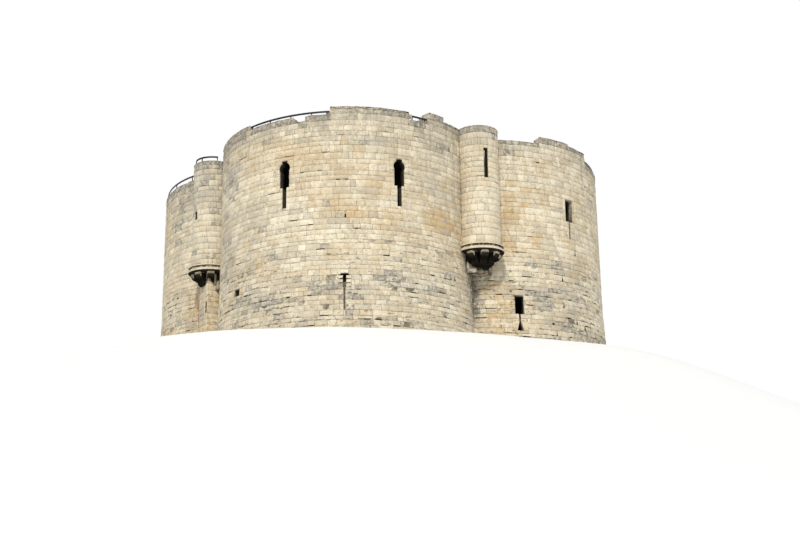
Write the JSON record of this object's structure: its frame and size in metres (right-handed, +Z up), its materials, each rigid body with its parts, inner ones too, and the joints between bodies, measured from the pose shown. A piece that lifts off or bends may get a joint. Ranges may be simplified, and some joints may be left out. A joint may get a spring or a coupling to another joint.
{
  "type": "castle keep",
  "caption": "Roofless stone castle keep of round lobes with corbelled turrets between them, arrow loops, an open wall walk, worn parapets and handrails.",
  "frame": {"origin": "middle of the keep in plan, at the foot of its walls", "axes": "+Z up, -Y out through the front lobe that the picture faces, +X out through the lobe on its right"},
  "size_m": [24.3, 24.2677, 10.88],
  "materials": {
    "limestone": "rough",
    "weathered_stone": "rough",
    "dressed_stone": "matte",
    "paving": "rough",
    "dark_rail": "satin"
  },
  "bodies": {
    "root": {"back_door_side_left": "limestone", "back_door_side_right": "limestone", "back_lower_left": "limestone", "back_lower_right": "limestone", "back_over_door": "limestone", "back_upper_centre": "limestone", "back_upper_left": "limestone", "back_upper_right": "limestone", "front_lower_centre": "limestone", "front_lower_left": "limestone", "front_lower_right": "limestone", "front_upper_centre": "limestone", "front_upper_left": "limestone", "front_upper_right": "limestone", "left_lower_centre": "limestone", "left_lower_left": "limestone", "left_lower_right": "limestone", "left_upper_centre": "limestone", "left_upper_left": "limestone", "left_upper_right": "limestone", "right_lower_centre": "limestone", "right_lower_left": "limestone", "right_lower_right": "limestone", "right_upper_centre": "limestone", "right_upper_left": "limestone", "right_upper_right": "limestone", "front_parapet": "weathered_stone", "right_parapet": "weathered_stone", "back_parapet": "weathered_stone", "left_parapet": "weathered_stone", "front_right_turret": "limestone", "back_right_turret": "limestone", "back_left_turret": "limestone", "front_left_turret": "limestone", "front_right_corbels": "weathered_stone", "back_right_corbels": "weathered_stone", "back_left_corbels": "weathered_stone", "front_left_corbels": "weathered_stone", "garderobe_pier": "dressed_stone", "door_arch": "dressed_stone", "wall_walk": "paving", "ground_floor": "paving", "front_rail": "dark_rail", "right_rail": "dark_rail", "left_rail": "dark_rail"}
  },
  "joints": []
}
